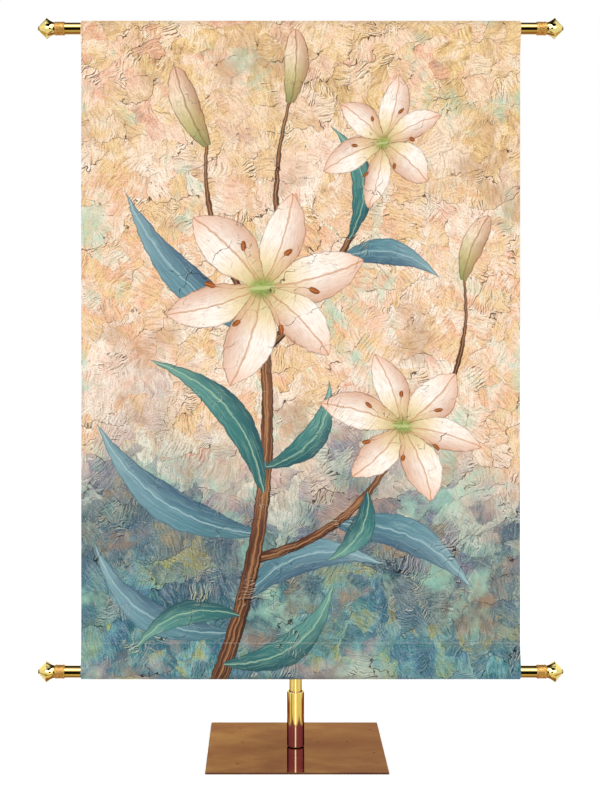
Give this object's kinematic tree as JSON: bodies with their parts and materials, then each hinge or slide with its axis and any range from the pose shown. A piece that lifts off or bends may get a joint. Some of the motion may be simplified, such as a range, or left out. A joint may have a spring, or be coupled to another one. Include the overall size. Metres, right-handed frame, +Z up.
{
  "type": "easter banner on a brass stand",
  "caption": "Upright printed cloth banner held between brass crossbars with cone finials, on a slim brass post in a socket on a flat square base plate.",
  "frame": {"origin": "on the floor, midway along the crossbars and midway between the base plate's front and back edges", "axes": "+Z up, -Y the way the banner's printed face looks, +X along the crossbars to the right as seen from the front"},
  "size_m": [1.0948, 0.366, 1.5288],
  "materials": {
    "printed_cloth": "woven polyester canvas with a flat dyed print",
    "polished_brass": "polished",
    "satin_gold": "satin, finely textured",
    "bronzed_brass": "polished, toned brown"
  },
  "bodies": {
    "root": {"banner_cloth": "printed_cloth", "top_rod": "polished_brass", "bottom_rod": "polished_brass", "top_left_collar": "satin_gold", "top_right_collar": "satin_gold", "bottom_left_collar": "satin_gold", "bottom_right_collar": "satin_gold", "top_left_finial": "polished_brass", "top_right_finial": "polished_brass", "bottom_left_finial": "polished_brass", "bottom_right_finial": "polished_brass", "top_left_button": "satin_gold", "top_right_button": "satin_gold", "bottom_left_button": "satin_gold", "bottom_right_button": "satin_gold", "post": "polished_brass", "post_socket": "polished_brass", "post_saddle": "polished_brass", "base_plate": "bronzed_brass"}
  },
  "joints": []
}
